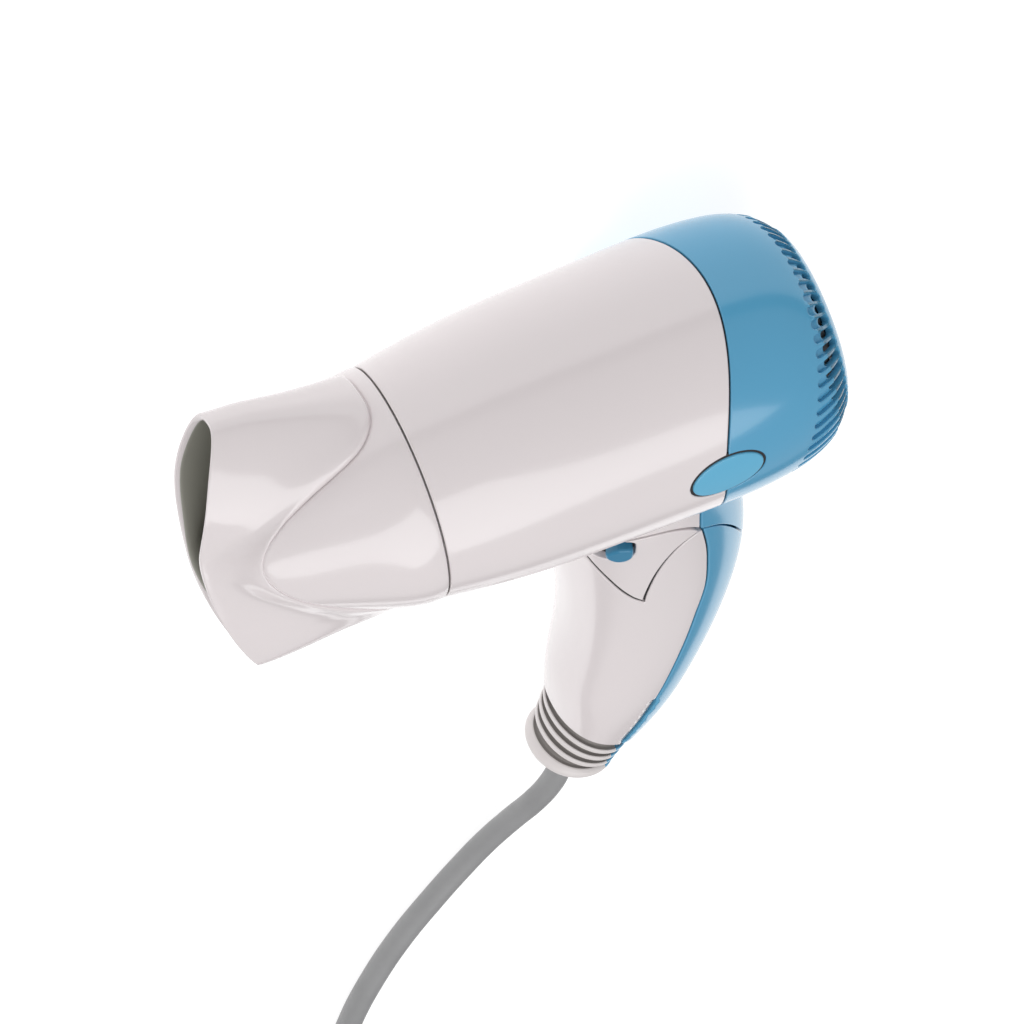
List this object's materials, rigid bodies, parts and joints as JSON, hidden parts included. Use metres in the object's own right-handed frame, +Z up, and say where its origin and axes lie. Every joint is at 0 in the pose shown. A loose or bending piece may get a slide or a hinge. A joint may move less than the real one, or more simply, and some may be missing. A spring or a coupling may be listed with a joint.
{
  "type": "hair dryer",
  "caption": "Folding travel hair dryer lying on its side: round barrel with slotted rear intake, turned concentrator nozzle, curved grip, ribbed cord exit and coiled mains lead.",
  "frame": {"origin": "centre of the resting area on the surface that the dryer lies on, measured without the free cord", "axes": "+X along the barrel towards the nozzle, +Y from the barrel towards the end of the grip, +Z up from the surface"},
  "size_m": [0.1919, 0.4576, 0.0798],
  "materials": {
    "white_plastic": "glossy warm white ABS",
    "blue_plastic": "glossy light blue ABS",
    "dark_blue_plastic": "satin dark blue",
    "cord_grey": "satin grey PVC",
    "black_plastic": "matt black heat-proof plastic",
    "mica": "mica sheet",
    "steel": "plated steel",
    "heater_wire": "oxidised resistance wire"
  },
  "bodies": {
    "grip": {"grip_front_shell": "white_plastic", "grip_rear_shell": "blue_plastic", "switch_panel": "white_plastic", "side_panel": "white_plastic", "hinge_cheek_left": "white_plastic", "hinge_cheek_right": "white_plastic", "hinge_pin": "steel", "switch_block": "black_plastic", "terminal_block": "black_plastic", "cord_clamp": "cord_grey", "grip_screw_upper": "steel", "grip_screw_lower": "steel", "cord_sleeve": "white_plastic", "cord_tube": "cord_grey", "cord_coil": "cord_grey", "cord_tail": "cord_grey", "cord_tie": "black_plastic", "plug_body": "cord_grey", "plug_pin_left": "steel", "plug_pin_right": "steel"},
    "switch": {"switch_button": "dark_blue_plastic"},
    "barrel": {"barrel_shell": "white_plastic", "rear_cap": "blue_plastic", "intake_ring": "blue_plastic", "dust_screen": "black_plastic", "fastener_cap_left": "blue_plastic", "fastener_cap_right": "blue_plastic", "motor_mount": "black_plastic", "motor_can": "steel", "mica_sleeve": "mica", "heater_board": "mica", "heater_board_left": "mica", "heater_board_right": "mica", "heater_winding_1": "heater_wire", "heater_winding_2": "heater_wire", "heater_winding_3": "heater_wire", "thermostat": "black_plastic", "thermal_fuse": "steel", "outlet_grille": "black_plastic", "neck_front": "white_plastic", "neck_rear": "blue_plastic", "hinge_tongue": "black_plastic"},
    "fan": {"fan_impeller": "black_plastic", "motor_shaft": "steel"},
    "collar": {"nozzle_collar": "white_plastic"},
    "nozzle": {"concentrator_nozzle": "white_plastic"}
  },
  "joints": [
    {"name": "handle_fold", "type": "hinge", "parent": "grip", "child": "barrel", "pos_m": [-0.033, -0.01164, 0.03063], "axis": [0, 0.1513, 0.9885], "range_deg": [0, 75]},
    {"name": "fan_spin", "type": "hinge", "parent": "barrel", "child": "fan", "pos_m": [-0.0665, -0.07243, 0.03993], "axis": [1, 0, 0], "continuous": true},
    {"name": "nozzle_pull", "type": "slide", "parent": "barrel", "child": "collar", "axis": [1, 0, 0], "range_m": [0, 0.03]},
    {"name": "nozzle_turn", "type": "hinge", "parent": "collar", "child": "nozzle", "pos_m": [0.0355, -0.07243, 0.03993], "axis": [1, 0, 0], "continuous": true},
    {"name": "switch_slide", "type": "slide", "parent": "grip", "child": "switch", "axis": [1, 0, 0], "range_m": [0, 0.003]}
  ]
}
